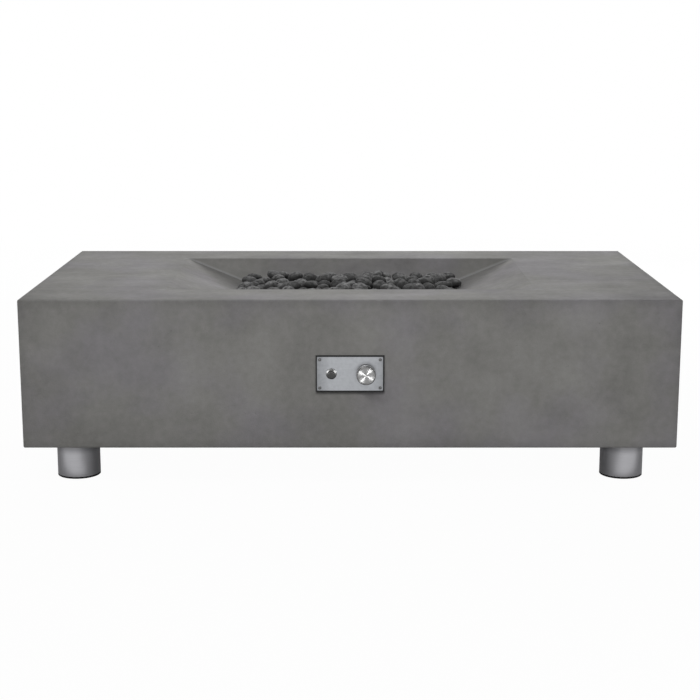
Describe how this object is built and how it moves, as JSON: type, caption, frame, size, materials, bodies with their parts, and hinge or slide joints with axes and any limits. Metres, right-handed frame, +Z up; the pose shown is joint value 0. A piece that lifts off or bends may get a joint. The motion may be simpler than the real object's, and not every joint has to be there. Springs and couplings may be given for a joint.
{
  "type": "concrete fire pit",
  "caption": "Rectangular concrete gas fire pit on round steel legs, with a sloped recess of lava stones over a burner and a front panel with knob and igniter.",
  "frame": {"origin": "on the floor, under the middle of the whole piece, with the knob counted in its depth", "axes": "+X along the length, to the right as seen from the control panel, -Y out of the panel, +Z up"},
  "size_m": [1.524, 0.8676, 0.442],
  "materials": {
    "concrete": "matte",
    "leg_steel": "satin",
    "black_rubber": "matte",
    "fastener_steel": "satin",
    "plate_steel": "satin",
    "brass": "satin",
    "spring_steel": "satin",
    "knob_metal": "polished",
    "bezel_chrome": "polished",
    "black_plastic": "satin",
    "battery_can": "satin",
    "burner_steel": "satin",
    "feed_metal": "satin",
    "insulator": "gloss",
    "lava": "matte"
  },
  "bodies": {
    "body": {"concrete_shell": "concrete", "leg_front_left": "leg_steel", "leg_front_right": "leg_steel", "leg_rear_left": "leg_steel", "leg_rear_right": "leg_steel", "foot_pad_front_left": "black_rubber", "foot_pad_front_right": "black_rubber", "foot_pad_rear_left": "black_rubber", "foot_pad_rear_right": "black_rubber", "panel_gasket": "black_rubber", "spark_lead": "black_rubber", "leg_bolts": "fastener_steel", "leg_washers": "fastener_steel", "leg_inserts": "fastener_steel", "panel_screws": "fastener_steel", "panel_inserts": "fastener_steel", "hood_screws": "fastener_steel", "igniter_nut": "fastener_steel", "thermocouple_nut": "fastener_steel", "control_plate": "plate_steel", "valve_body": "brass", "valve_lock_nut": "brass", "magnet_unit": "brass", "gas_inlet": "brass", "valve_outlet": "brass", "gas_orifice": "brass", "feed_nuts": "brass", "igniter_terminals": "brass", "thermocouple_lead": "brass", "valve_spring": "spring_steel", "igniter_spring": "spring_steel", "igniter_bezel": "bezel_chrome", "igniter_housing": "black_plastic", "igniter_battery": "battery_can", "burner_pan": "burner_steel", "burner": "burner_steel", "burner_nipple": "burner_steel", "pan_lock_nut": "burner_steel", "air_mixer": "burner_steel", "igniter_hood": "burner_steel", "electrode_rod": "burner_steel", "thermocouple": "burner_steel", "feed_tube": "feed_metal", "electrode_ceramic": "insulator", "lava_stones": "lava"},
    "valve_slide": {"spring_seat": "spring_steel"},
    "knob": {"knob": "knob_metal", "knob_set_screw": "fastener_steel", "valve_stem": "spring_steel"},
    "igniter": {"igniter_button": "black_plastic"}
  },
  "joints": [
    {"name": "valve_push", "type": "slide", "parent": "body", "child": "valve_slide", "axis": [0, 1, 0], "range_m": [0, 0.004], "stiffness_N_per_m": 1500, "springref_m": -0.003, "deforming": ["valve_spring"]},
    {"name": "knob_turn", "type": "hinge", "parent": "valve_slide", "child": "knob", "pos_m": [0.037, -0.41175, 0.2703], "axis": [0, -1, 0], "range_deg": [0, 180]},
    {"name": "igniter_press", "type": "slide", "parent": "body", "child": "igniter", "axis": [0, 1, 0], "range_m": [0, 0.003], "stiffness_N_per_m": 800, "springref_m": -0.002, "deforming": ["igniter_spring"]}
  ]
}
